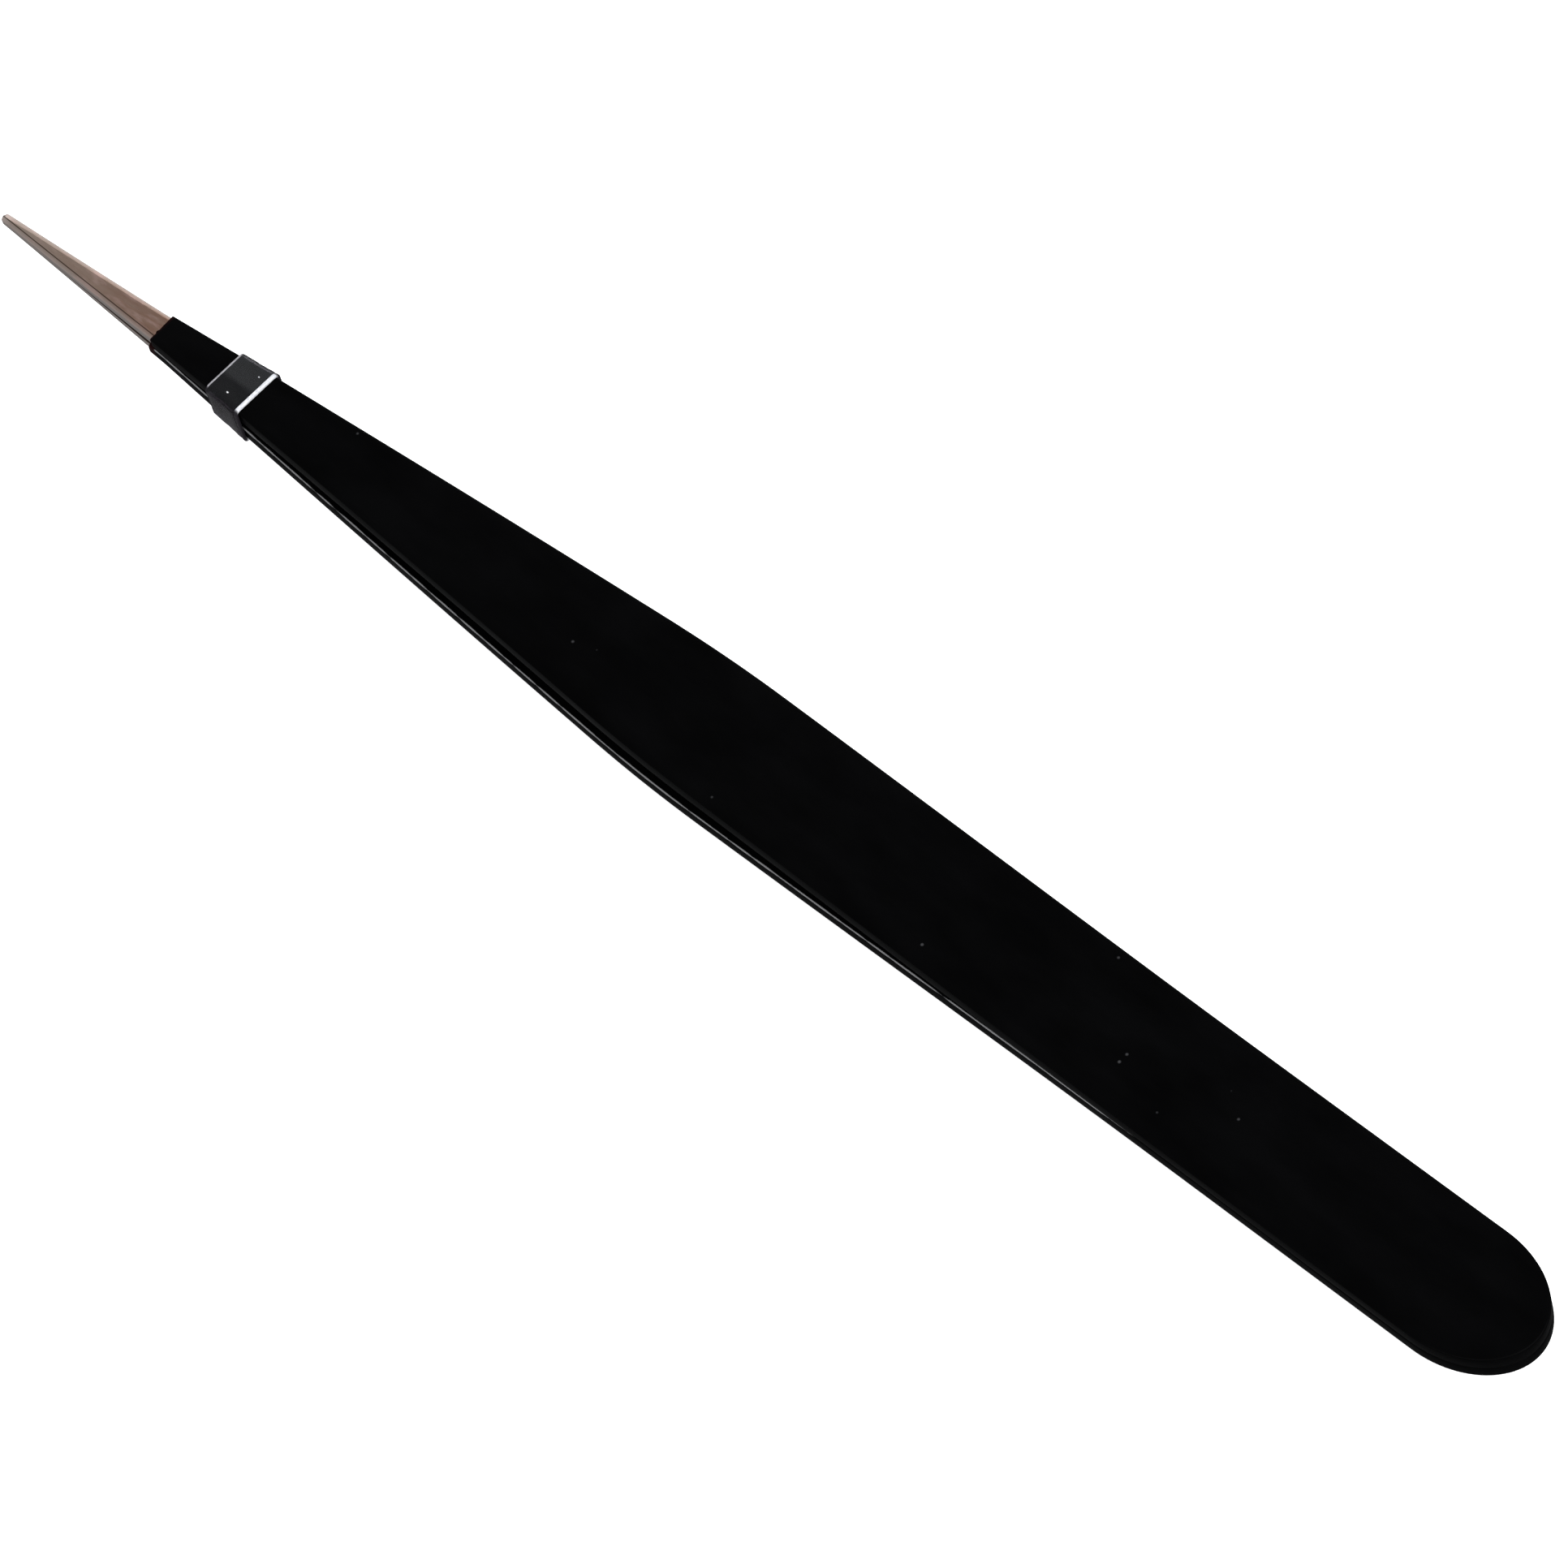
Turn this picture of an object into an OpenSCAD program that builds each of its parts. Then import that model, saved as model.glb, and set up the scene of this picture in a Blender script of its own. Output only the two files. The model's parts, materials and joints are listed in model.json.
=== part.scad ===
// Straight fine-point tweezers: two spring steel leaves welded at the heel,
// a black insulating coat over all but the points, and a clear sleeve that
// holds the points shut. +X runs to the points, +Z through both leaves.

/* [Overall] */
// Length from the points to the end of the heel
total_len = 140; // [115:1:165]
// Width of each leaf behind its shoulder
leaf_w = 9; // [7.5:0.1:11]
// Length of the heel, where the leaves are welded together
heel_len = 26; // [18:1:32]

/* [Leaves] */
// Thickness of the spring steel
leaf_t = 0.9; // [0.75:0.01:1.2]
// Gap between the leaves and the middle plane, half way along the arms
bow = 1; // [0.6:0.05:1.2]
// Distance from the points to the shoulder, where the taper ends
shoulder_from_tip = 66; // [50:1:80]
// Half the length over which the shoulder is rounded
shoulder_round = 5; // [4:1:14]
// How far the rounded end of the heel reaches
heel_end_len = 6.4; // [4:0.2:9]

/* [Points] */
// Length of the finely ground point
point_len = 16; // [10:0.5:20]
// Width of a leaf where the fine point begins
neck_w = 2.1; // [1.6:0.02:2.6]
// Width of a point near its end
tip_w = 0.66; // [0.5:0.02:0.8]
// Radius of the corners at the end of a point
tip_round = 0.22; // [0.1:0.01:0.24]
// Thickness at the very end of a point
tip_t = 0.3; // [0.24:0.02:0.34]
// Length over which each leaf is ground thinner
grind_len = 24; // [20:1:30]

/* [Coat] */
// Thickness of the coat
coat_t = 0.12; // [0.08:0.005:0.15]
// Bare length from the points to the edge of the coat
bare_len = 16.2; // [12:0.1:18]

/* [Sleeve] */
// Distance from the points to the front of the sleeve
band_from_tip = 22.5; // [18.5:0.1:27]
// Length of the sleeve
band_len = 3.3; // [2.5:0.1:5]
// Wall of the sleeve
band_wall = 0.22; // [0.15:0.01:0.35]
// Clearance between the sleeve and the coat
band_clear = 0.03; // [0.02:0.01:0.05]

/* [Welds] */
// Diameter of a spot weld
weld_d = 3; // [2:0.1:4]
// Depth of a spot weld in each leaf
weld_depth = 0.4; // [0.2:0.05:0.5]
// Number of spot welds
weld_count = 3; // [2:1:3]
// Distance between spot welds
weld_pitch = 6.5; // [5:0.1:7]

/* [Flexure] */
// Clearance around the round root of each arm
pivot_clear = 0.03; // [0.02:0.01:0.05]
// Gap between the coat of the arm and the coat of the heel, on each side
coat_gap = 0.03; // [0.03:0.01:0.05]
// Gap between each arm and the middle plane where they meet
split = 0.01; // [0.01:0.01:0.02]

/* [Hidden] */

half_len = total_len / 2;
// Length of an arm, from its point to the line where it flexes
arm_len = total_len - heel_len;
flex_x = half_len - arm_len;
// Height of the middle plane over the plane that the tool rests on
mid_z = bow + leaf_t + coat_t;
// How fast half the width grows behind the fine point, and along it
taper = (leaf_w - neck_w) / 2 / (shoulder_from_tip - point_len);
point_taper = (neck_w - tip_w) / 2 / point_len;
// Number of stretches in the side view of an arm
stations = 40;
// Overshoot of a cutting shape
past = 5;
// The inner face is left uncoated where the gap is thinner than this
thin_coat = 0.03;
// Radius of the round root of an arm, and its height over the middle plane
root_r = (leaf_t - split) / 2;
root_z = split + root_r;
$fn = 64;

// Half the width of a leaf, u from its point
function half_width(u) =
    u < tip_round
        ? tip_w / 2 + point_taper * u - tip_round
          + sqrt(pow(tip_round, 2) - pow(tip_round - u, 2))
    : u < point_len
        ? tip_w / 2 + point_taper * u
    : u < shoulder_from_tip - shoulder_round
        ? neck_w / 2 + taper * (u - point_len)
    : u < shoulder_from_tip + shoulder_round
        ? leaf_w / 2 - taper / (4 * shoulder_round)
          * pow(shoulder_from_tip + shoulder_round - u, 2)
    : leaf_w / 2;

// Gap from the middle plane to the inner face, u from the point
function gap_at(u) =
    let (f = 1 - u / arm_len) bow * 16 * f * f * (1 - f) * (1 - f);

// Thickness of the steel, u from the point
function steel_at(u) = tip_t + (leaf_t - tip_t) * min(u / grind_len, 1);

// Height of the inner and the outer face over the middle plane
function inner_at(u) = split + gap_at(u);
function outer_at(u) = gap_at(u) + max(steel_at(u), tip_t + split);

// Height of the inner face of the coat over the middle plane
function coat_inner_at(u) =
    gap_at(u) < thin_coat ? inner_at(u) : split + max(gap_at(u) - coat_t, 0);

// Distances from the point at which the side view and the plan are drawn
side_us = [for (i = [0 : stations]) arm_len * i / stations];
plan_us = concat(
    [for (i = [0 : 4]) tip_round * (1 - cos(90 * i / 4))],
    [point_len],
    [for (i = [0 : 10]) shoulder_from_tip + shoulder_round * (i / 5 - 1)]);

// Plan of one arm, grown sideways by grow
module arm_plan(grow) {
    rim = concat([for (u = plan_us) [half_len - u, half_width(u) + grow]],
                 [[flex_x, leaf_w / 2 + grow]]);
    last = len(rim) - 1;
    polygon(concat(rim, [for (i = [last : -1 : 0]) [rim[i][0], -rim[i][1]]]));
}

// Plan of the heel with its rounded end, grown by grow
module heel_plan(grow, front) {
    end_x = -half_len + coat_t + heel_end_len;
    steps = 32;
    polygon(concat(
        [[front, -leaf_w / 2 - grow]],
        [for (i = [0 : steps])
            let (a = 90 + 180 * i / steps)
            [end_x + (heel_end_len + grow) * cos(a),
             -(leaf_w / 2 + grow) * sin(a)]],
        [[front, leaf_w / 2 + grow]]));
}

// Side view drawn in XZ, pushed out across the width
module across(width) {
    rotate([90, 0, 0])
        translate([0, 0, -width / 2])
            linear_extrude(height = width) children();
}

// Mirrors what is over the middle plane to the lower leaf
module below() {
    translate([0, 0, 2 * mid_z]) mirror([0, 0, 1]) children();
}

// Steel of the upper arm
module blade_body() {
    intersection() {
        linear_extrude(height = 2 * mid_z + past) arm_plan(0);
        translate([0, 0, mid_z])
            across(leaf_w + past)
                polygon(concat(
                    [for (u = side_us) [half_len - u, inner_at(u)]],
                    [for (i = [stations : -1 : 0])
                        [half_len - side_us[i], outer_at(side_us[i])]]));
    }
}

// Half-round root on which an arm flexes
module root(radius, width) {
    translate([flex_x, 0, mid_z + root_z])
        rotate([90, 0, 0])
            cylinder(r = radius, h = width, center = true);
}

module blade() {
    union() {
        blade_body();
        difference() {
            root(root_r, leaf_w);
            translate([flex_x, -leaf_w, 0]) cube([leaf_t, 2 * leaf_w, 2 * mid_z + past]);
        }
    }
}

// Coat round the upper arm, from the bare point to the flexure
module arm_coat() {
    difference() {
        intersection() {
            linear_extrude(height = 2 * mid_z + past) arm_plan(coat_t);
            translate([0, 0, mid_z])
                across(leaf_w + past)
                    polygon(concat(
                        [for (u = side_us) [half_len - u, coat_inner_at(u)]],
                        [for (i = [stations : -1 : 0])
                            let (u = side_us[i])
                            [half_len - u, outer_at(u) + coat_t]]));
            translate([flex_x + coat_gap, -leaf_w, 0])
                cube([arm_len - bare_len - coat_gap, 2 * leaf_w, 2 * mid_z + past]);
        }
        blade_body();
    }
}

// Places the spot welds along the heel
module at_welds() {
    for (i = [0 : weld_count - 1])
        translate([-half_len + heel_len / 2 + weld_pitch * (i - (weld_count - 1) / 2), 0, mid_z])
            children();
}

// Steel of the upper leaf behind the flexure
module heel_leaf() {
    difference() {
        translate([0, 0, mid_z])
            linear_extrude(height = leaf_t) heel_plan(0, flex_x);
        root(root_r + pivot_clear, leaf_w + past);
        at_welds() cylinder(d = weld_d, h = 2 * weld_depth, center = true);
    }
}

// Half the inner size of the sleeve, u from the point, where size is the
// matching half size of the closed arms: it tapers straight from end to end
function band_inner(u, size) =
    let (front = size(band_from_tip), rear = size(band_from_tip + band_len))
    front + (rear - front) * (u - band_from_tip) / band_len + coat_t + band_clear;

// The sleeve's outline in plan or from the side, grown by its wall
module band_outline(size, wall, extra) {
    front = band_from_tip - extra;
    rear = band_from_tip + band_len + extra;
    polygon([for (end = [[front, 1], [rear, 1], [rear, -1], [front, -1]])
        [half_len - end[0], end[1] * (band_inner(end[0], size) + wall)]]);
}

// A tapered block that fills the sleeve's inside or its outside
module band_block(wall, extra) {
    intersection() {
        linear_extrude(height = 2 * mid_z + past)
            band_outline(function (u) half_width(u), wall, extra);
        translate([0, 0, mid_z])
            across(leaf_w + past)
                band_outline(function (u) outer_at(u), wall, extra);
    }
}

module upper_heel() {
    color("slategray") heel_leaf();
}

module lower_heel() {
    color("slategray") below() heel_leaf();
}

module heel_coat() {
    color([0.05, 0.05, 0.06])
        difference() {
            translate([0, 0, mid_z - leaf_t - coat_t])
                linear_extrude(height = 2 * (leaf_t + coat_t))
                    heel_plan(coat_t, flex_x - coat_gap);
            translate([0, 0, mid_z - leaf_t])
                linear_extrude(height = 2 * leaf_t) heel_plan(0, flex_x + past);
        }
}

module spot_welds() {
    color("gray") at_welds() cylinder(d = weld_d, h = 2 * weld_depth, center = true);
}

module upper_blade() {
    color([0.55, 0.5, 0.46]) blade();
}

module upper_coat() {
    color([0.06, 0.06, 0.07]) arm_coat();
}

module lower_blade() {
    color([0.5, 0.46, 0.42]) below() blade();
}

module lower_coat() {
    color([0.04, 0.04, 0.05]) below() arm_coat();
}

module clear_band() {
    color([0.75, 0.8, 0.85])
        difference() {
            band_block(band_wall, 0);
            band_block(0, past);
        }
}

upper_heel();
lower_heel();
heel_coat();
spot_welds();
upper_blade();
upper_coat();
lower_blade();
lower_coat();
clear_band();
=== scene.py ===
import bisect
import json
import math
import random

import bmesh
import bpy
from mathutils import Matrix, Vector


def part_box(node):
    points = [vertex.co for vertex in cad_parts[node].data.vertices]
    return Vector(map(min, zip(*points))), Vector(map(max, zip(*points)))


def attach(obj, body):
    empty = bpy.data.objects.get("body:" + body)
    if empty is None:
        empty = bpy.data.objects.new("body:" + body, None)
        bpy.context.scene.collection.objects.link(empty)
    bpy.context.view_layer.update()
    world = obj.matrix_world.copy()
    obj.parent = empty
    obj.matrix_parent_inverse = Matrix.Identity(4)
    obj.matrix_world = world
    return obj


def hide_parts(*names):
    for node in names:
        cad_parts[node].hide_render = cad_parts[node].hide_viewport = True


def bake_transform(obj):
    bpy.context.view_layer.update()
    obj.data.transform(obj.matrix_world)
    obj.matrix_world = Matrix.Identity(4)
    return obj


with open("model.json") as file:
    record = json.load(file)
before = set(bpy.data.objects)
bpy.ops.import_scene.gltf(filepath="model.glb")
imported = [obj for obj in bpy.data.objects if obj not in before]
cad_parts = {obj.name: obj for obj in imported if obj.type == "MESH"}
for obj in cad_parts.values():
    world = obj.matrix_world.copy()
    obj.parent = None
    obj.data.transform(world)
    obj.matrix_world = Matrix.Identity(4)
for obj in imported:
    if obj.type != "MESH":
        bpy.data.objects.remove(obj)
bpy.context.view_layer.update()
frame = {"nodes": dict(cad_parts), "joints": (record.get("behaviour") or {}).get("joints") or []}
random.seed(7)
print("stage: frame loaded", sorted(frame["nodes"]))

mm = 0.001
hair = 0.01 * mm  # closer than this counts as the same place
nodes = frame["nodes"]
heelFront = Vector(frame["joints"][0]["pos_m"])  # line on which the arms flex
midZ = (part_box("upper_heel")[0].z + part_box("lower_heel")[1].z) / 2  # where the leaves meet


camera = {
    "distance": 600 * mm,
    "towardsHeel": 31.38,  # degrees round the vertical, from the heel's end
    "height": 56.35,  # degrees over the table
    "roll": -17.40,  # degrees
    "lens": 213.72,  # lens and sensor in mm
    "sensor": 36.0,
    "reach": (0.01, 20),  # nearest and farthest that it sees
    "aim": (-4.539 * mm, -0.468 * mm),
}


def placeCamera(c):
    around, up, roll = (math.radians(c[k]) for k in ("towardsHeel", "height", "roll"))
    back = Vector((-math.cos(up) * math.cos(around), math.cos(up) * math.sin(around), math.sin(up)))
    side = (-back).cross(Vector((0, 0, 1))).normalized()
    top = side.cross(-back)
    right = side * math.cos(roll) + top * math.sin(roll)
    above = top * math.cos(roll) - side * math.sin(roll)
    data = bpy.data.cameras.new("camera")
    data.lens, data.sensor_width = c["lens"], c["sensor"]
    data.clip_start, data.clip_end = c["reach"]
    cam = bpy.data.objects.new("camera", data)
    bpy.context.collection.objects.link(cam)
    turn = Matrix((right, above, back)).transposed().to_4x4()
    place = Vector((c["aim"][0], c["aim"][1], midZ)) + back * c["distance"]
    cam.matrix_world = Matrix.Translation(place) @ turn
    bpy.context.scene.camera = cam


placeCamera(camera)
print("stage: camera placed")


studio = {
    "floorColour": (0.93, 0.93, 0.93, 1),
    "floorSize": 6.0,
    "floorCuts": 4,
    "floorDrop": 2.5 * mm,  # room for the lower arm to open
    "floorGlow": 0.75,  # the paper lies on a light table, so shadows stay faint
    "floorRough": 0.9,
    "floorShine": 0.1,
    "worldColour": (0.97, 0.985, 1.0, 1),
    "worldStrength": 0.5,
    "underStrength": 0.18,  # below the table top, where upright faces look
    "horizon": (-0.25, 0.05),  # height over which the one turns into the other
    # name: place, size across and along, power in watts
    "lamps": {
        "heelLamp": ((-1.1, -0.35, 1.3), (1.6, 1.6), 26.0),
        "sideLamp": ((-0.5, 1.3, 0.9), (1.2, 0.7), 8.0),
        "farLamp": ((0.42, -0.67, 0.45), (0.45, 0.3), 0.8),
    },
}


def buildStudio(s):
    world = bpy.data.worlds.new("studio")
    bpy.context.scene.world = world
    world.use_nodes = True
    sky = world.node_tree.nodes["Background"]
    sky.inputs["Color"].default_value = s["worldColour"]
    tree = world.node_tree
    heading = tree.nodes.new("ShaderNodeTexCoord").outputs["Generated"]
    up = tree.nodes.new("ShaderNodeSeparateXYZ")
    blend = tree.nodes.new("ShaderNodeMapRange")
    limits = {"From Min": s["horizon"][0], "From Max": s["horizon"][1],
              "To Min": s["underStrength"], "To Max": s["worldStrength"]}
    for key, value in limits.items():
        blend.inputs[key].default_value = value
    tree.links.new(heading, up.inputs[0])
    tree.links.new(up.outputs["Z"], blend.inputs["Value"])
    tree.links.new(blend.outputs["Result"], sky.inputs["Strength"])
    for name, (place, (across, along), power) in s["lamps"].items():
        lamp = bpy.data.lights.new(name, "AREA")
        lamp.shape, lamp.size, lamp.size_y, lamp.energy = "RECTANGLE", across, along, power
        obj = bpy.data.objects.new(name, lamp)
        obj.matrix_world = (Matrix.Translation(place)
                            @ (-Vector(place)).to_track_quat("-Z", "Y").to_matrix().to_4x4())
        bpy.context.collection.objects.link(obj)
    bpy.ops.mesh.primitive_grid_add(x_subdivisions=s["floorCuts"], y_subdivisions=s["floorCuts"],
                                    size=s["floorSize"], location=(0, 0, -s["floorDrop"]))
    floor = bpy.context.object
    floor.name = "floor"
    paint = bpy.data.materials.new("pale paper")
    paint.use_nodes = True
    shader = paint.node_tree.nodes["Principled BSDF"]
    shader.inputs["Base Color"].default_value = s["floorColour"]
    shader.inputs["Roughness"].default_value = s["floorRough"]
    shader.inputs["Specular IOR Level"].default_value = s["floorShine"]
    shader.inputs["Emission Color"].default_value = s["floorColour"]
    shader.inputs["Emission Strength"].default_value = s["floorGlow"]
    floor.data.materials.append(paint)
    floor.visible_glossy = False  # gloss mirrors the studio and not the paper
    bpy.context.scene.view_settings.view_transform = "Standard"


buildStudio(studio)
print("stage: studio lit")


def newGroup(name, inputs, outputs):
    tree = bpy.data.node_groups.new(name, "ShaderNodeTree")
    for label, kind, value in inputs:
        socket = tree.interface.new_socket(label, in_out="INPUT", socket_type=kind)
        socket.default_value = value
    for label, kind in outputs:
        tree.interface.new_socket(label, in_out="OUTPUT", socket_type=kind)
    return tree, tree.nodes.new("NodeGroupInput"), tree.nodes.new("NodeGroupOutput")


def addNode(tree, kind, links=None, **settings):
    node = tree.nodes.new(kind)
    for key, value in settings.items():
        setattr(node, key, value)
    for socket, value in (links or {}).items():
        if isinstance(value, bpy.types.NodeSocket):
            tree.links.new(value, node.inputs[socket])
        else:
            node.inputs[socket].default_value = value
    return node


def ramp(tree, value, low, high):
    node = addNode(tree, "ShaderNodeMapRange", {"Value": value, "From Min": low, "From Max": high})
    node.clamp = True
    return node.outputs["Result"]


def multiply(tree, a, b):
    return addNode(tree, "ShaderNodeMath", {0: a, 1: b}, operation="MULTIPLY").outputs[0]


def partOf(tree, name):
    # how far a place belongs to a marked part of the mesh, from 0 to 1
    return addNode(tree, "ShaderNodeAttribute", attribute_name=name).outputs["Fac"]


def placeOf(tree):
    # the place along the tool and the place across it
    place = addNode(tree, "ShaderNodeTexCoord").outputs["Object"]
    axes = addNode(tree, "ShaderNodeSeparateXYZ", {0: place})
    return axes.outputs[0], axes.outputs[1]


def makeDust():
    share = 0.15  # a speck's size as a share of its cell's
    rim, core = 0.16, 0.06  # a speck fades between these, as shares of its cell
    tree, given, out = newGroup(
        "dustSpecks",
        [("Size", "NodeSocketFloat", 0.0001), ("Amount", "NodeSocketFloat", 0.02)],
        [("Mask", "NodeSocketFloat")])
    place = addNode(tree, "ShaderNodeTexCoord").outputs["Object"]
    scale = addNode(tree, "ShaderNodeMath", {0: share, 1: given.outputs["Size"]},
                    operation="DIVIDE")
    cells = addNode(tree, "ShaderNodeTexVoronoi", {"Vector": place, "Scale": scale.outputs[0]})
    chance = addNode(tree, "ShaderNodeSeparateColor", {"Color": cells.outputs["Color"]})
    chosen = addNode(tree, "ShaderNodeMath",
                     {0: chance.outputs[0], 1: given.outputs["Amount"]}, operation="LESS_THAN")
    dot = ramp(tree, cells.outputs["Distance"], rim, core)
    tree.links.new(multiply(tree, chosen.outputs[0], dot), out.inputs["Mask"])
    return tree


# painted highlight: brightens the marked inner edges of the coat, broken up by noise
def makeEdgeHighlight():
    fade, detail = 0.12, 5.0
    tree, given, out = newGroup(
        "paintedEdgeHighlight",
        [("Scale", "NodeSocketFloat", 900.0), ("Width", "NodeSocketFloat", 0.5)],
        [("Mask", "NodeSocketFloat")])
    edge = partOf(tree, "nearEdge")
    place = addNode(tree, "ShaderNodeTexCoord").outputs["Object"]
    noise = addNode(tree, "ShaderNodeTexNoise",
                    {"Vector": place, "Scale": given.outputs["Scale"], "Detail": detail})
    highlightStrength = addNode(tree, "ShaderNodeMath", {0: edge, 1: noise.outputs["Fac"]}, operation="MULTIPLY")
    limit = addNode(tree, "ShaderNodeMath", {0: 1.0, 1: given.outputs["Width"]},
                    operation="SUBTRACT")
    over = addNode(tree, "ShaderNodeMath", {0: highlightStrength.outputs[0], 1: limit.outputs[0]},
                   operation="SUBTRACT")
    tree.links.new(ramp(tree, over.outputs[0], 0.0, fade), out.inputs["Mask"])
    return tree


def makeGrain():
    detail = 4.0
    tree, given, out = newGroup(
        "fineGrain",
        [("Scale", "NodeSocketVector", (1000.0, 1000.0, 1000.0)),
         ("Low", "NodeSocketFloat", 0.3), ("High", "NodeSocketFloat", 0.7)],
        [("Mask", "NodeSocketFloat")])
    place = addNode(tree, "ShaderNodeTexCoord").outputs["Object"]
    stretch = addNode(tree, "ShaderNodeVectorMath",
                      {0: place, 1: given.outputs["Scale"]}, operation="MULTIPLY")
    noise = addNode(tree, "ShaderNodeTexNoise",
                    {"Vector": stretch.outputs[0], "Scale": 1.0, "Detail": detail})
    spread = addNode(tree, "ShaderNodeMapRange",
                     {"Value": noise.outputs["Fac"], "From Min": given.outputs["Low"],
                      "From Max": given.outputs["High"]})
    tree.links.new(spread.outputs["Result"], out.inputs["Mask"])
    return tree


dustGroup, edgeHighlightGroup, grainGroup = makeDust(), makeEdgeHighlight(), makeGrain()


def useGroup(tree, group, **values):
    node = tree.nodes.new("ShaderNodeGroup")
    node.node_tree = group
    for key, value in values.items():
        node.inputs[key].default_value = value
    return node.outputs["Mask"]


def mix(tree, mask, first, second):
    node = addNode(tree, "ShaderNodeMix", {0: mask}, data_type="RGBA")
    for index, colour in ((6, first), (7, second)):  # the two colour sockets
        if isinstance(colour, bpy.types.NodeSocket):
            tree.links.new(colour, node.inputs[index])
        else:
            node.inputs[index].default_value = (*colour, 1)
    return node.outputs[2]


def finish(name, **fixed):
    material = bpy.data.materials.new(name)
    material.use_nodes = True
    shader = material.node_tree.nodes["Principled BSDF"]
    for key, value in fixed.items():
        shader.inputs[key.replace("_", " ")].default_value = value
    return material, material.node_tree, shader


def roughBetween(tree, shader, mask, low, high):
    node = addNode(tree, "ShaderNodeMapRange", {"Value": mask, "To Min": low, "To Max": high})
    tree.links.new(node.outputs["Result"], shader.inputs["Roughness"])


def bumpFrom(tree, shader, height, strength, depth):
    node = addNode(tree, "ShaderNodeBump",
                   {"Height": height, "Strength": strength, "Distance": depth})
    tree.links.new(node.outputs["Normal"], shader.inputs["Normal"])


coatLook = {
    "black": (0.0005, 0.0005, 0.0006),
    "lighter": (0.0013, 0.0013, 0.0015),
    "dust": (0.045, 0.045, 0.048),
    # colour of the painted highlight along the leaves' inner edges
    "edgeHighlight": (0.2, 0.2, 0.205),
    "thinEdge": (0.012, 0.003, 0.003),
    "thinWidth": 0.16 * mm,
    "shine": 0.02,
    "roughLow": 0.33,
    "roughHigh": 0.47,
    "cloudScale": (160, 400, 400),
    "grainScale": (3800, 3800, 3800),
    "grainBump": 0.35,
    "grainDepth": 0.006 * mm,
    "speckSize": 0.13 * mm,
    "speckAmount": 0.034,
    "highlightScale": 700,
    "highlightWidth": 0.74,
}


def makeCoat(look, edgeX):
    material, tree, shader = finish("satin black coat", Specular_IOR_Level=look["shine"])
    cloud = useGroup(tree, grainGroup, Scale=look["cloudScale"])
    grain = useGroup(tree, grainGroup, Scale=look["grainScale"])
    dust = useGroup(tree, dustGroup, Size=look["speckSize"], Amount=look["speckAmount"])
    edgeHighlight = useGroup(tree, edgeHighlightGroup, Scale=look["highlightScale"], Width=look["highlightWidth"])
    thin = ramp(tree, placeOf(tree)[0], edgeX - look["thinWidth"], edgeX)
    colour = mix(tree, cloud, look["black"], look["lighter"])
    # painted highlight along the inner edges
    colour = mix(tree, edgeHighlight, colour, look["edgeHighlight"])
    colour = mix(tree, thin, colour, look["thinEdge"])
    colour = mix(tree, dust, colour, look["dust"])
    tree.links.new(colour, shader.inputs["Base Color"])
    roughBetween(tree, shader, cloud, look["roughLow"], look["roughHigh"])
    bumpFrom(tree, shader, grain, look["grainBump"], look["grainDepth"])
    return material


steelLook = {
    "brown": (0.3, 0.168, 0.118),
    "warmGrey": (0.43, 0.345, 0.29),
    "bright": (0.74, 0.62, 0.575),
    "side": (0.95, 0.84, 0.79),
    "facet": (0.51, 0.44, 0.41),
    "rose": (0.62, 0.43, 0.39),  # faint patches of temper colour
    "shadeLine": (0.05, 0.032, 0.024),  # painted shade: a dark line where the flat meets the ground facet, on the near side only
    "shadeLineWidth": 0.055 * mm,
    "shadeLineCore": 0.2,  # share of that width that is fully dark
    "endBright": 0.9 * mm,  # the last of the point is ground bare again
    "cloudShare": 0.3,
    "facetShare": 0.8,
    "roseShare": 0.55,
    "endShare": 0.7,
    "cloudGrain": {"Scale": (420, 2600, 2600), "Low": 0.35, "High": 0.65},
    "roseGrain": {"Scale": (600, 2200, 2200), "Low": 0.5, "High": 0.72},
    "lineGrain": {"Scale": (260, 16000, 16000), "Low": 0.25, "High": 0.75},
    "lineBump": 0.5,
    "lineDepth": 0.004 * mm,
    "brushing": 0.35,  # how far the gloss is drawn out by the grinding lines
    "roughLow": 0.24,
    "roughHigh": 0.42,
}


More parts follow.
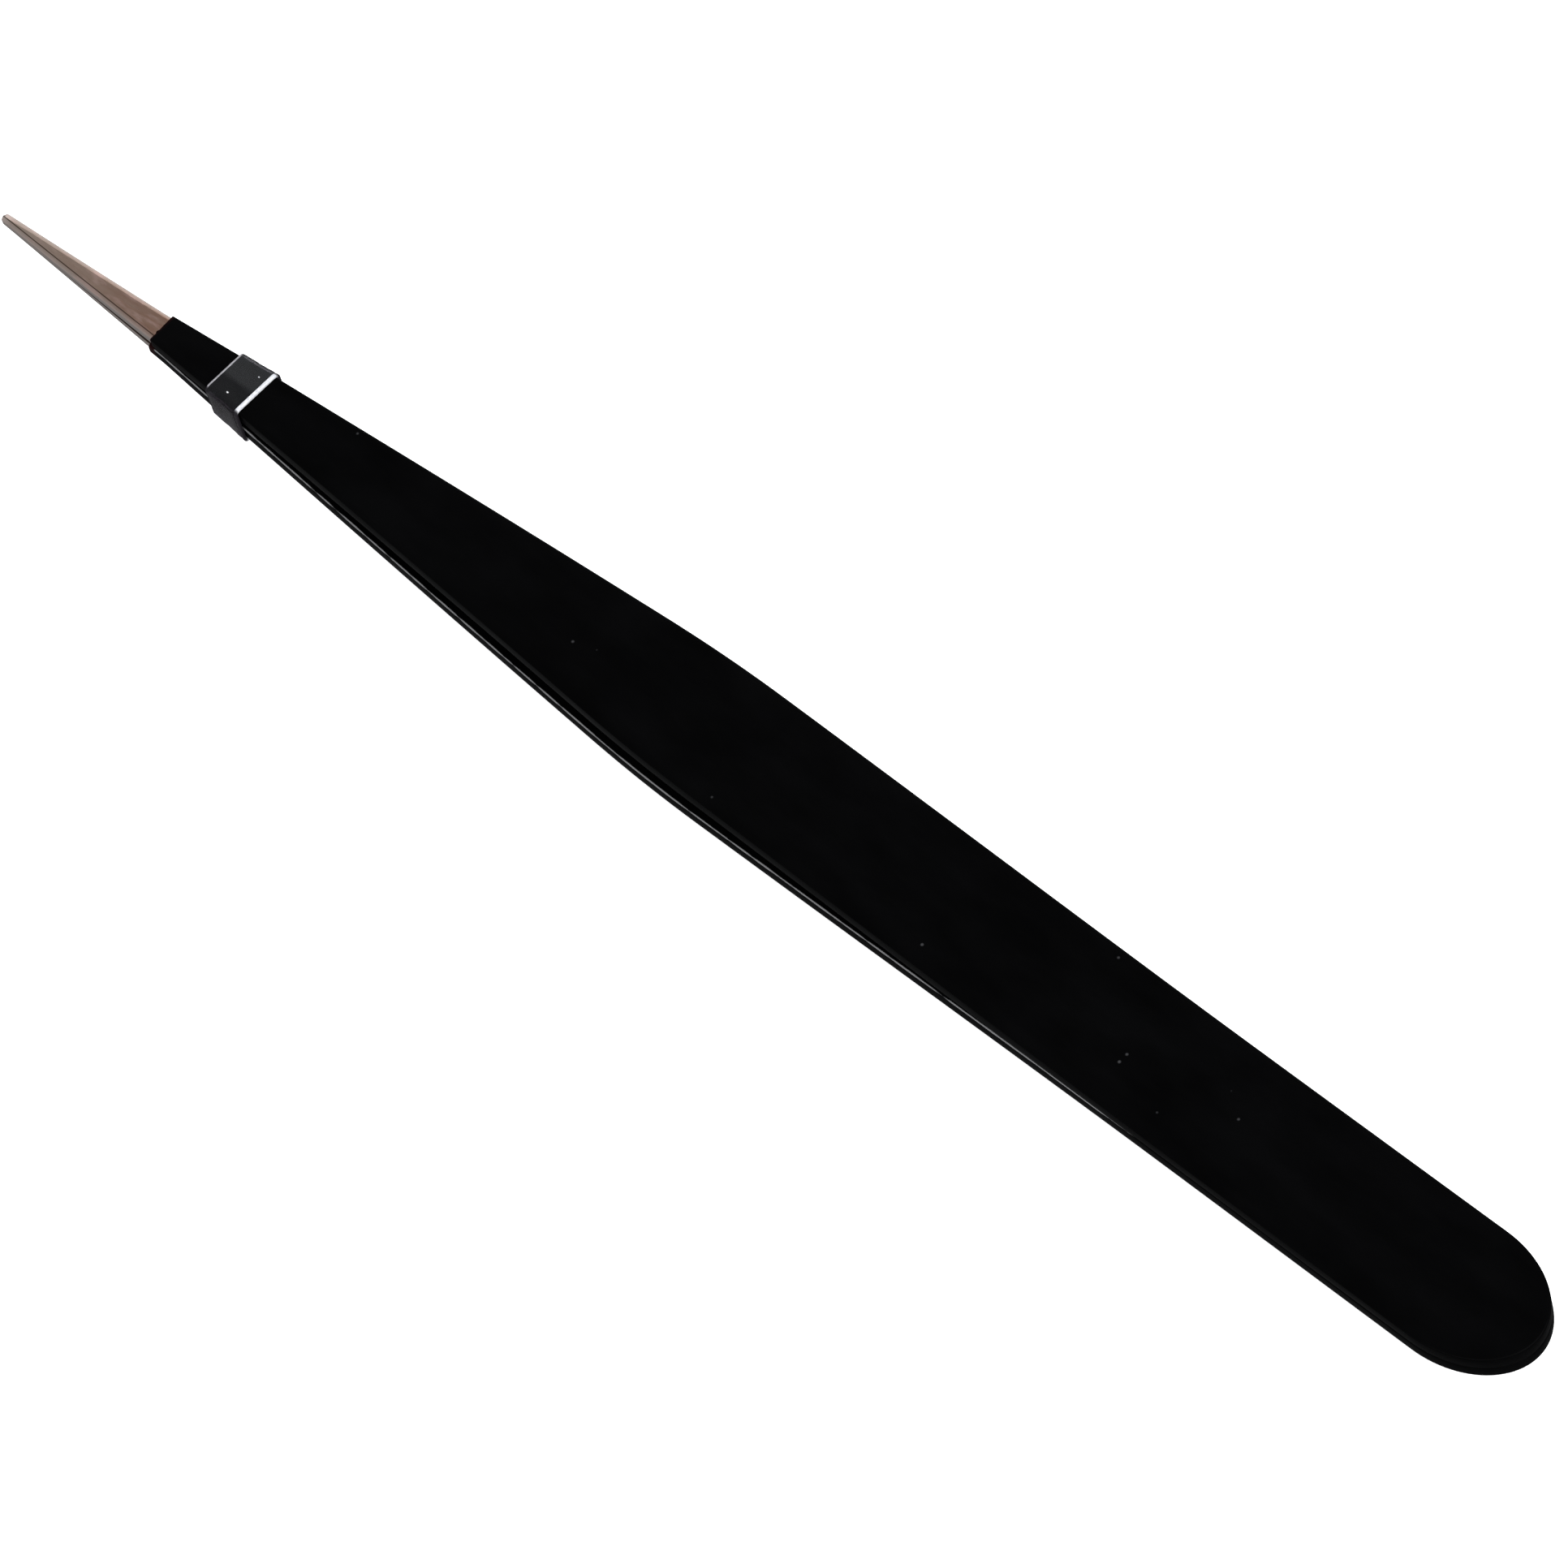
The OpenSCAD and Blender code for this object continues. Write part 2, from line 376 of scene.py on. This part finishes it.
def makeSteel(look, brownX, greyX, facetAt, facetSlope):
    material, tree, shader = finish("ground steel point", Metallic=1.0, Anisotropic=look["brushing"])
    along, across = placeOf(tree)
    lines = useGroup(tree, grainGroup, **look["lineGrain"])
    cloud = useGroup(tree, grainGroup, **look["cloudGrain"])
    patches = useGroup(tree, grainGroup, **look["roseGrain"])
    end = ramp(tree, along, greyX - look["endBright"], greyX)
    colour = mix(tree, ramp(tree, along, brownX, greyX), look["brown"], look["warmGrey"])
    colour = mix(tree, multiply(tree, cloud, look["cloudShare"]), colour, look["warmGrey"])
    facet = multiply(tree, partOf(tree, "nearEdge"), look["facetShare"])
    colour = mix(tree, facet, colour, look["facet"])
    colour = mix(tree, multiply(tree, patches, look["roseShare"]), colour, look["rose"])
    colour = mix(tree, partOf(tree, "side"), colour, look["side"])
    colour = mix(tree, multiply(tree, end, look["endShare"]), colour, look["bright"])
    # painted shade: a dark line along the inner edge of the near facet
    line = addNode(tree, "ShaderNodeMath", {0: along, 1: facetSlope, 2: across},
                   operation="MULTIPLY_ADD").outputs[0]
    away = addNode(tree, "ShaderNodeMath", {0: line, 1: facetAt}, operation="SUBTRACT").outputs[0]
    off = addNode(tree, "ShaderNodeMath", {0: away}, operation="ABSOLUTE").outputs[0]
    shadeLine = ramp(tree, off, look["shadeLineWidth"], look["shadeLineCore"] * look["shadeLineWidth"])
    colour = mix(tree, shadeLine, colour, look["shadeLine"])
    tree.links.new(colour, shader.inputs["Base Color"])
    roughBetween(tree, shader, lines, look["roughLow"], look["roughHigh"])
    bumpFrom(tree, shader, lines, look["lineBump"], look["lineDepth"])
    return material


weldLook = {
    "scorched": (0.22, 0.2, 0.19),
    "clean": (0.45, 0.44, 0.43),
    "cloudScale": (900, 900, 900),
    "cloudBump": 0.4,
    "cloudDepth": 0.02 * mm,
    "roughLow": 0.35,
    "roughHigh": 0.6,
}


def makeWeldMetal(look):
    material, tree, shader = finish("weld metal", Metallic=1.0)
    cloud = useGroup(tree, grainGroup, Scale=look["cloudScale"])
    colour = mix(tree, cloud, look["scorched"], look["clean"])
    tree.links.new(colour, shader.inputs["Base Color"])
    roughBetween(tree, shader, cloud, look["roughLow"], look["roughHigh"])
    bumpFrom(tree, shader, cloud, look["cloudBump"], look["cloudDepth"])
    return material


sleeveLook = {
    "tint": (0.02, 0.021, 0.026),
    "farSheen": (0.13, 0.135, 0.142),
    "sheenFrom": 0.35 * mm,  # painted sheen: the plastic is painted lighter beyond here towards the far side, and left dark before it as painted shade of the gap
    "sheenTo": -0.05 * mm,
    "sheenShare": 0.8,
    "cloudShare": 0.25,
    "side": (0.03, 0.026, 0.034),
    "clearness": 0.85,
    "clearBend": 1.25,  # refractive index of the soft plastic
    "clearRough": (0.14, 0.24),
    "cloudScale": (240, 420, 420),
    "cloudBump": 0.1,
    "cut": ((0.62, 0.64, 0.7), (0.97, 0.97, 0.98)),  # painted highlight: darker and lighter grain of the rear lip, its cut edge painted near white as lit
    "shadedCut": ((0.26, 0.25, 0.27), (0.48, 0.47, 0.5)),  # and of the front lip, the same cut edge painted grey as in shade
    # the lips' upright sides are left dark, so that their tops carry the painted light
    "cutSide": (0.018, 0.016, 0.02),
    "cutBend": 1.46,  # and of its cut ends
    "cutShine": 0.08,
    "cutRough": (0.3, 0.5),
    "cutScale": (6000, 5000, 5000),
    "cutBump": 0.4,
    "bumpDepth": 0.01 * mm,
}


def makeClear(look):
    material, tree, shader = finish("clear soft plastic", Transmission_Weight=look["clearness"],
                                    IOR=look["clearBend"])
    cloud = useGroup(tree, grainGroup, Scale=look["cloudScale"])
    # painted sheen on the far part of the sleeve, with painted shade on the near part
    near = ramp(tree, placeOf(tree)[1], look["sheenFrom"], look["sheenTo"])
    close = multiply(tree, near, look["sheenShare"])
    spread = addNode(tree, "ShaderNodeMath", {0: cloud, 1: look["cloudShare"], 2: close},
                     operation="MULTIPLY_ADD").outputs[0]
    colour = mix(tree, spread, look["tint"], look["farSheen"])
    colour = mix(tree, partOf(tree, "side"), colour, look["side"])
    tree.links.new(colour, shader.inputs["Base Color"])
    roughBetween(tree, shader, cloud, *look["clearRough"])
    bumpFrom(tree, shader, cloud, look["cloudBump"], look["bumpDepth"])
    return material


# the sleeve's cut ends, lit or shaded by painted colour as given by the colours passed in
def makeCutEdge(name, look, darker, lighter):
    material, tree, shader = finish(name, IOR=look["cutBend"], Specular_IOR_Level=look["cutShine"])
    grain = useGroup(tree, grainGroup, Scale=look["cutScale"])
    colour = mix(tree, grain, darker, lighter)
    colour = mix(tree, partOf(tree, "side"), colour, look["cutSide"])
    tree.links.new(colour, shader.inputs["Base Color"])
    roughBetween(tree, shader, grain, *look["cutRough"])
    bumpFrom(tree, shader, grain, look["cutBump"], look["bumpDepth"])
    return material


def deselectAll():
    for obj in bpy.context.selected_objects:
        obj.select_set(False)


def edit(obj):
    deselectAll()
    bpy.context.view_layer.objects.active = obj
    obj.select_set(True)
    bpy.ops.object.mode_set(mode="EDIT")


def leaveEdit():
    bpy.ops.object.mode_set(mode="OBJECT")


def settle(obj):
    # puts a new primitive's place and size into its mesh
    deselectAll()
    obj.select_set(True)
    bpy.ops.object.transform_apply(location=True, rotation=True, scale=True)


def paintWith(obj, material):
    obj.data.materials.clear()
    obj.data.materials.append(material)


def pick(obj, kind, test):
    mesh = bmesh.from_edit_mesh(obj.data)
    bpy.ops.mesh.select_mode(type=kind)
    bpy.ops.mesh.select_all(action="DESELECT")
    group = {"FACE": mesh.faces, "EDGE": mesh.edges, "VERT": mesh.verts}[kind]
    for item in group:
        if test(item):
            item.select_set(True)
    mesh.select_flush_mode()
    bmesh.update_edit_mesh(obj.data)


def stationsOf(name, step=0.2 * mm):
    # place along, half width, lowest and highest of a CAD piece at each of its stations
    found = {}
    for v in nodes[name].data.vertices:
        found.setdefault(round(v.co.x / step), []).append(v.co)
    rows = []
    for key in sorted(found):
        points = found[key]
        rows.append((sum(p.x for p in points) / len(points), max(abs(p.y) for p in points),
                     min(p.z for p in points), max(p.z for p in points)))
    return rows


def sizeAt(rows, x):
    xs = [r[0] for r in rows]
    i = min(max(bisect.bisect_left(xs, x), 1), len(xs) - 1)
    a, b = rows[i - 1], rows[i]
    t = min(max((x - a[0]) / (b[0] - a[0]), 0), 1)
    return tuple(a[k] + (b[k] - a[k]) * t for k in (1, 2, 3))


def pullFace(x, now, was):
    # extrudes the picked face to x and gives it the size that belongs there
    wide, low, high = now
    oldX, (oldWide, oldLow, oldHigh) = was
    middle, oldMiddle = (low + high) / 2, (oldLow + oldHigh) / 2
    bpy.ops.mesh.extrude_region_move(
        TRANSFORM_OT_translate={"value": (x - oldX, 0, middle - oldMiddle)})
    bpy.ops.transform.resize(value=(1, wide / oldWide, (high - low) / (oldHigh - oldLow)),
                             center_override=(x, 0, middle))


def mark(obj, name, amount):
    layer = obj.data.attributes.new(name, "FLOAT", "POINT")
    layer.data.foreach_set("value", [min(max(amount(v.co), 0), 1) for v in obj.data.vertices])


def smoothBy(obj, degrees):
    deselectAll()
    obj.select_set(True)
    bpy.context.view_layer.objects.active = obj
    bpy.ops.object.shade_smooth_by_angle(angle=math.radians(degrees), keep_sharp_edges=False)


def isRim(edge, degrees=40):
    return len(edge.link_faces) == 2 and edge.calc_face_angle(0) > math.radians(degrees)


def looksAhead(face, least=0.9):
    return face.normal.x > least


def isEnd(face, least=0.9):
    return abs(face.normal.x) > least


def isLevel(face, least=0.99):
    return abs(face.normal.z) > least


leafShape = {
    "heelSides": 96,  # facets round the end of the heel
    "heelStep": 2.0 * mm,
    "bendStep": 1.2 * mm,  # finer stations over the flexure
    "bendCount": 12,
    "bendGap": 0.6 * mm,  # least step from there to the CAD piece's own stations
    "edgeRadius": 0.13 * mm,
    "edgeCuts": 4,
    "rimInset": 0.45 * mm,
    "coatCuts": 9,  # corners across the front of the coat
    "coatSplit": 0.3 * mm,  # only longer edges there are split
    "coatRagged": 0.07 * mm,
    "coatWaves": (0.23 * mm, 0.09 * mm),
    "coatTwist": 60,  # how fast the shorter wave turns over the coat's thickness
    "waveShare": 0.35,  # shares of the raggedness that are regular and random
    "jitter": 0.7,
    "highlightStrength": 1.7,  # how strongly the painted highlight lies on the inner edges
    "highlightFade": 8 * mm,
    "upperHighlight": 0.55,  # the painted highlight is weaker on the upper leaf
    "aheadBelow": 0.55 * mm,  # the coat of the lower leaf reaches further
    "bendStart": 5.0 * mm,  # behind the flexing line
    "bendEnd": 16.0 * mm,  # in front of it
    "smoothUnder": 32,  # degrees
}


def makeCoatedLeaf(name, armCoat, heelSteel, above, shape):
    rows = stationsOf(armCoat)
    heelLow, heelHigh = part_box("heel_coat")
    low = midZ if above else heelLow.z
    high = heelHigh.z if above else midZ
    wide = heelHigh.y
    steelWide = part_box(heelSteel)[1].y
    flatEnd = min(v.co.x for v in nodes[heelSteel].data.vertices
                  if abs(abs(v.co.y) - steelWide) < 0.1 * hair)
    bpy.ops.mesh.primitive_cylinder_add(vertices=shape["heelSides"], radius=wide, depth=high - low,
                                        location=(flatEnd, 0, (low + high) / 2))
    leaf = bpy.context.object
    leaf.name = name
    settle(leaf)
    edit(leaf)
    bpy.ops.mesh.select_all(action="SELECT")
    bpy.ops.transform.resize(value=((flatEnd - heelLow.x) / wide, 1, 1),
                             center_override=(flatEnd, 0, 0))
    bpy.ops.mesh.bisect(plane_co=(flatEnd, 0, 0), plane_no=(1, 0, 0), clear_outer=True,
                        use_fill=True)
    # pull the front face forward, station by station, to the edge of the coat
    heelXs = []
    x = flatEnd + shape["heelStep"]
    while x < heelFront.x - 0.5 * shape["heelStep"]:
        heelXs.append(x)
        x += shape["heelStep"]
    bendXs = [heelFront.x + i * shape["bendStep"] for i in range(shape["bendCount"])]
    armXs = [r[0] for r in rows if r[0] > bendXs[-1] + shape["bendGap"]]
    if not above:
        armXs[-1] += shape["aheadBelow"]
    heelSize = (wide, low, high)
    was = (flatEnd, heelSize)
    pick(leaf, "FACE", looksAhead)
    for x in heelXs + bendXs + armXs:
        size = heelSize if x <= heelFront.x else sizeAt(rows, x)
        pullFace(x, size, was)
        was = (x, size)
    frontX = was[0]

    def atFront(v):
        return v.co.x > frontX - hair

    pick(leaf, "EDGE", lambda e: isRim(e) and not all(atFront(v) for v in e.verts))
    bpy.ops.mesh.bevel(offset=shape["edgeRadius"], segments=shape["edgeCuts"], affect="EDGES")
    pick(leaf, "FACE", isLevel)
    bpy.ops.mesh.inset(thickness=shape["rimInset"], use_boundary=True)
    # split the front rim finely and pull it about, because the coat ends unevenly
    pick(leaf, "EDGE", lambda e: all(atFront(v) for v in e.verts)
         and e.calc_length() > shape["coatSplit"])
    bpy.ops.mesh.subdivide(number_cuts=shape["coatCuts"])
    rim = [v.co.copy() for v in bmesh.from_edit_mesh(leaf.data).verts if atFront(v)]
    longWave, shortWave = shape["coatWaves"]
    for place in rim:
        wave = (math.sin(place.y / longWave)
                + math.sin(place.y / shortWave + shape["coatTwist"] * place.z / mm))
        jitter = random.uniform(-shape["jitter"], shape["jitter"])
        pull = shape["coatRagged"] * (shape["waveShare"] * wave + jitter)
        pick(leaf, "VERT", lambda v: (v.co - place).length < 0.01 * hair)
        bpy.ops.transform.translate(value=(pull, 0, 0))
    leaveEdit()

    def highlightAt(p):
        # painted highlight: the lower leaf is painted bright along its inner edge in front of the
        # heel, the upper leaf more faintly
        wide, low, high = sizeAt(rows, p.x) if p.x > heelFront.x else heelSize
        fromEdge = math.hypot(wide - abs(p.y), (low if above else high) - p.z)
        share = shape["upperHighlight"] if above else (p.x - heelFront.x) / shape["highlightFade"]
        return shape["highlightStrength"] * (1 - fromEdge / shape["edgeRadius"]) * min(max(share, 0), 1)

    mark(leaf, "nearEdge", highlightAt)
    smoothBy(leaf, shape["smoothUnder"])
    paintWith(leaf, coatPaint)
    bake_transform(leaf)
    return leaf


pointShape = {
    "step": 0.02 * mm,  # stations of the CAD piece closer than this count as one
    "under": 1.6 * mm,  # how far the steel goes in under the coat
    "stub": 0.4 * mm,  # block that the point is pulled out of
    "firstStep": 0.3 * mm,  # least length of the first pull
    "facetWide": 0.31 * mm,  # each ground facet along the outer edges
    "facetDrop": 0.12 * mm,
    "facetEnds": 0.5 * mm,  # where its width is taken, in from each end of the bare steel
    "facetFade": 0.03 * mm,
    "sideDepth": 0.004 * mm,  # what lies this close to the outline is the upright side
    "rimAngle": 50,  # degrees
    "edgeRadius": 0.02 * mm,
    "edgeCuts": 2,
    "emptyUnder": 0.0005 * mm,  # faces thinner than this are closed up
    "smoothUnder": 14,  # degrees
}


def facetLine(rows, shape, coatEnd, tipEnd):
    # the inner edge of a facet as across = at - slope * along
    inset = shape["facetEnds"]
    near, far = sizeAt(rows, tipEnd - inset)[0], sizeAt(rows, coatEnd + inset)[0]
    slope = (far - near) / (tipEnd - coatEnd - 2 * inset)
    return near - shape["facetWide"] + slope * (tipEnd - inset), slope


def makePoint(name, blade, arm, above, shape, coatEnd, tipEnd):
    rows = stationsOf(blade, shape["step"])
    startX, stub = coatEnd - shape["under"], shape["stub"]
    size = sizeAt(rows, startX)
    wide, low, high = size
    bpy.ops.mesh.primitive_cube_add(size=1, location=(startX - stub / 2, 0, (low + high) / 2),
                                    scale=(stub, 2 * wide, high - low))
    point = bpy.context.object
    point.name = name
    settle(point)
    edit(point)
    pick(point, "FACE", looksAhead)
    was = (startX, size)
    for x in sorted({r[0] for r in rows if r[0] > startX + shape["firstStep"]}):
        size = sizeAt(rows, x)
        pullFace(x, size, was)
        was = (x, size)
    # ground facets along the outer edges
    at, slope = facetLine(rows, shape, coatEnd, tipEnd)
    for side in (1, -1):
        bpy.ops.mesh.select_all(action="SELECT")
        bpy.ops.mesh.bisect(plane_co=(0, side * at, 0), plane_no=(slope, side, 0))

    def onOuterEdge(v):
        wide, low, high = sizeAt(rows, v.co.x)
        level = high if above else low
        return abs(v.co.y) > wide - hair and abs(v.co.z - level) < 2 * hair

    drop = -shape["facetDrop"] if above else shape["facetDrop"]
    pick(point, "VERT", onOuterEdge)
    bpy.ops.transform.translate(value=(0, 0, drop))
    pick(point, "EDGE", lambda e: isRim(e, shape["rimAngle"]))
    bpy.ops.mesh.bevel(offset=shape["edgeRadius"], segments=shape["edgeCuts"], affect="EDGES")
    bpy.ops.mesh.select_all(action="SELECT")
    bpy.ops.mesh.dissolve_degenerate(threshold=shape["emptyUnder"])
    leaveEdit()
    mark(point, "nearEdge", lambda p: (abs(p.y) + slope * p.x - at) / shape["facetFade"])
    mark(point, "side", lambda p: abs(p.y) > sizeAt(rows, p.x)[0] - shape["sideDepth"])
    smoothBy(point, shape["smoothUnder"])
    paintWith(point, pointSteel)
    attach(point, arm)
    return point


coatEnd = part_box("upper_coat")[1].x
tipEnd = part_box("upper_blade")[1].x
pointRows = stationsOf("upper_blade", pointShape["step"])
facetAt, facetSlope = facetLine(pointRows, pointShape, coatEnd, tipEnd)
coatPaint = makeCoat(coatLook, coatEnd)
pointSteel = makeSteel(steelLook, coatEnd, tipEnd, facetAt, facetSlope)
weldMetal = makeWeldMetal(weldLook)
clearPlastic = makeClear(sleeveLook)
litWhitePaint = makeCutEdge("sleeve rear edge and glints painted lit white", sleeveLook, *sleeveLook["cut"])
shadedGreyPaint = makeCutEdge("sleeve front edge painted grey in shade", sleeveLook, *sleeveLook["shadedCut"])
print("stage: materials made")

upperLeaf = makeCoatedLeaf("upper_leaf_coated", "upper_coat", "upper_heel", True,
                           leafShape)
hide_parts("upper_coat", "upper_heel", "heel_coat")
lowerLeaf = makeCoatedLeaf("lower_leaf_coated", "lower_coat", "lower_heel", False,
                           leafShape)
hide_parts("lower_coat", "lower_heel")
upperPoint = makePoint("upper_point", "upper_blade", "upper_arm", True, pointShape, coatEnd, tipEnd)
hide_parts("upper_blade")
lowerPoint = makePoint("lower_point", "lower_blade", "lower_arm", False, pointShape, coatEnd, tipEnd)
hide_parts("lower_blade")
paintWith(nodes["spot_welds"], weldMetal)
print("stage: leaves, points and welds made")


sleeveShape = {
    "corner": 0.42 * mm,
    "cornerCuts": 7,
    "wall": 0.2 * mm,
    "rings": 7,
    "wobble": 0.012 * mm,
    "frontLip": 0.14 * mm,
    "rearLip": 0.28 * mm,
    "lipGrow": 0.02 * mm,
    "lipRings": (1, 2),  # front and rear
    "windowIn": 0.24 * mm,  # the flat where the plastic lies close on the leaf
    "windowEdge": 0.05 * mm,
    "windowDeep": 0.014 * mm,
    "sideFrom": 0.34 * mm,  # in from the outer side, where the upright wall begins
    "sideFade": 0.13 * mm,
    "edgeRadius": 0.04 * mm,
    "edgeCuts": 2,
    "edgeAngle": 50,  # degrees
    "smoothUnder": 40,  # degrees
    "glintDots": ((45.06, -1.02), (45.94, 1.14)),  # painted highlight: small raised dots on the plastic painted white as glints, mm
    "glintSize": 0.075 * mm,
    "glintFlat": (1.25, 0.8, 0.45),
    "glintSink": 0.4,  # shares of the dot's size
    "glintUneven": 0.06,
    "glintSmoothUnder": 60,  # degrees
}


def makeTube(name, startX, endX, grow, rings, shape, paint, window=False):
    rows = stationsOf("clear_band")

    def sizeOf(x):
        wide, low, high = sizeAt(rows, x)
        grown = grow + random.uniform(-1, 1) * shape["wobble"]
        half = (high - low) / 2 + grown
        return wide + grown, midZ - half, midZ + half

    wide, low, high = sizeOf(startX)
    first = (endX - startX) / (rings + 1)
    bpy.ops.mesh.primitive_cube_add(size=1, location=(startX + first / 2, 0, midZ),
                                    scale=(first, 2 * wide, high - low))
    tube = bpy.context.object
    tube.name = name
    settle(tube)
    edit(tube)
    pick(tube, "FACE", looksAhead)
    was = (startX + first, (wide, low, high))
    for i in range(1, rings + 1):
        x = startX + first + (endX - startX - first) * i / rings
        size = sizeOf(x)
        pullFace(x, size, was)
        was = (x, size)
    # open both ends, round the long edges, and give the skin its wall inwards
    pick(tube, "FACE", isEnd)
    bpy.ops.mesh.delete(type="ONLY_FACE")
    pick(tube, "EDGE", lambda e: isRim(e) and abs(e.verts[0].co.x - e.verts[1].co.x) > hair / 2)
    bpy.ops.mesh.bevel(offset=shape["corner"], segments=shape["cornerCuts"], affect="EDGES")
    if window:
        pick(tube, "FACE", lambda f: isLevel(f) and abs(f.calc_center_median().y) < mm)
        bpy.ops.mesh.inset(thickness=shape["windowIn"], use_boundary=True)
        bpy.ops.mesh.inset(thickness=shape["windowEdge"], depth=-shape["windowDeep"],
                           use_boundary=True)
    leaveEdit()
    wall = tube.modifiers.new("wall", "SOLIDIFY")
    wall.thickness, wall.offset = shape["wall"] + grow, -1
    bpy.ops.object.modifier_apply(modifier=wall.name)
    soften = tube.modifiers.new("soften", "BEVEL")
    soften.width, soften.segments = shape["edgeRadius"], shape["edgeCuts"]
    soften.limit_method, soften.angle_limit = "ANGLE", math.radians(shape["edgeAngle"])
    bpy.ops.object.modifier_apply(modifier=soften.name)
    outerWide = max(abs(v.co.y) for v in tube.data.vertices)
    mark(tube, "side", lambda p: (abs(p.y) - outerWide + shape["sideFrom"]) / shape["sideFade"])
    smoothBy(tube, shape["smoothUnder"])
    paintWith(tube, paint)
    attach(tube, "band")
    return tube


# painted highlight: a small raised dot on the sleeve, painted white to stand in for a glint
def makeGlintDot(name, place, shape):
    bpy.ops.mesh.primitive_ico_sphere_add(subdivisions=3, radius=shape["glintSize"], location=place)
    glintDot = bpy.context.object
    glintDot.name = name
    settle(glintDot)
    edit(glintDot)
    bpy.ops.mesh.select_all(action="SELECT")
    bpy.ops.transform.resize(value=shape["glintFlat"], center_override=place)
    bpy.ops.transform.translate(value=(0, 0, -shape["glintSink"] * shape["glintSize"]))
    bpy.ops.transform.vertex_random(offset=shape["glintUneven"] * shape["glintSize"], seed=3)
    leaveEdit()
    smoothBy(glintDot, shape["glintSmoothUnder"])
    paintWith(glintDot, litWhitePaint)
    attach(glintDot, "band")


def makeSleeve(shape):
    rear, front = (corner.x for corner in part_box("clear_band"))
    lipRear, lipFront = rear + shape["rearLip"], front - shape["frontLip"]
    frontRings, rearRings = shape["lipRings"]
    sleeve = makeTube("clear_sleeve", lipRear, lipFront, 0, shape["rings"], shape, clearPlastic,
                      window=True)
    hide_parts("clear_band")
    # the rear lip is painted lit white, and the front lip is painted grey as in shade
    makeTube("sleeve_rear_lip", rear, lipRear, shape["lipGrow"], rearRings, shape, litWhitePaint)
    makeTube("sleeve_front_lip", lipFront, front, 0, frontRings, shape, shadedGreyPaint)
    rows = stationsOf("clear_band")
    for i, (x, y) in enumerate(shape["glintDots"]):
        place = Vector((x * mm, y * mm, sizeAt(rows, x * mm)[2]))
        makeGlintDot("sleeve_fleck_%d" % (i + 1), place, shape)


makeSleeve(sleeveShape)
print("stage: sleeve modelled")
